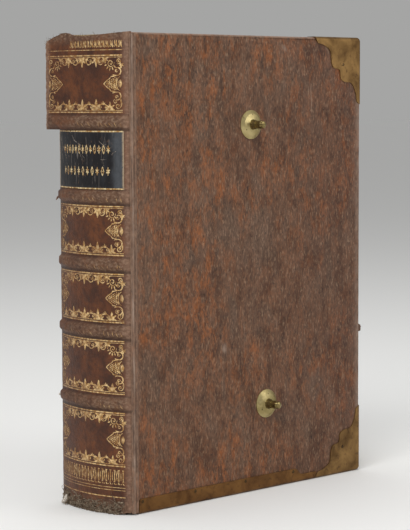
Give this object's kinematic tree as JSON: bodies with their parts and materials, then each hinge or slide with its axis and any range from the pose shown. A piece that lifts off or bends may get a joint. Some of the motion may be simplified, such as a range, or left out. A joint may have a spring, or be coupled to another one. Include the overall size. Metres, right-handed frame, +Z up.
{
  "type": "antique folio book",
  "caption": "Large antique choir book in full leather over wooden boards, with raised bands, gilt spine, brass corner pieces, tail rail and clasp pins, opening at both covers.",
  "frame": {"origin": "middle of the book's outer box, on the surface it stands on", "axes": "+Z up from tail to head, +X from the spine to the fore-edge, -Y out of the front cover"},
  "size_m": [0.377, 0.1348, 0.5],
  "materials": {
    "leaves": "aged, uncut edges",
    "cord": "twisted hemp",
    "lining": "matte",
    "endband": "sewn thread",
    "spine_leather": "worn calf",
    "title_label": "polished, scuffed",
    "board": "bare",
    "cover_leather": "mottled, worn",
    "pastedown": "matte",
    "corner_brass": "aged",
    "clasp_brass": "rubbed bright",
    "nails": "aged",
    "gilt": "gold leaf, worn"
  },
  "bodies": {
    "book_block": {"text_block": "leaves", "sewing_cords": "cord", "spine_lining": "lining", "endbands": "endband", "spine_leather": "spine_leather", "title_label": "title_label", "gilt_tooling": "gilt"},
    "front_cover": {"front_board": "board", "front_cover_leather": "cover_leather", "front_pastedown": "pastedown", "front_corners": "corner_brass", "front_rail": "corner_brass", "front_corner_nails": "nails", "front_rail_nails": "nails", "clasp_plates": "clasp_brass", "clasp_pins": "clasp_brass", "plate_nails": "nails"},
    "back_cover": {"back_board": "board", "back_cover_leather": "cover_leather", "back_pastedown": "pastedown", "back_corners": "corner_brass", "back_rail": "corner_brass", "back_corner_nails": "nails", "back_rail_nails": "nails"}
  },
  "joints": [
    {"name": "front_cover_hinge", "type": "hinge", "parent": "book_block", "child": "front_cover", "pos_m": [-0.16241, -0.04635, 0.25], "axis": [0, 0, -1], "range_deg": [0, 170]},
    {"name": "back_cover_hinge", "type": "hinge", "parent": "book_block", "child": "back_cover", "pos_m": [-0.16241, 0.06565, 0.25], "axis": [0, 0, 1], "range_deg": [0, 170]}
  ]
}
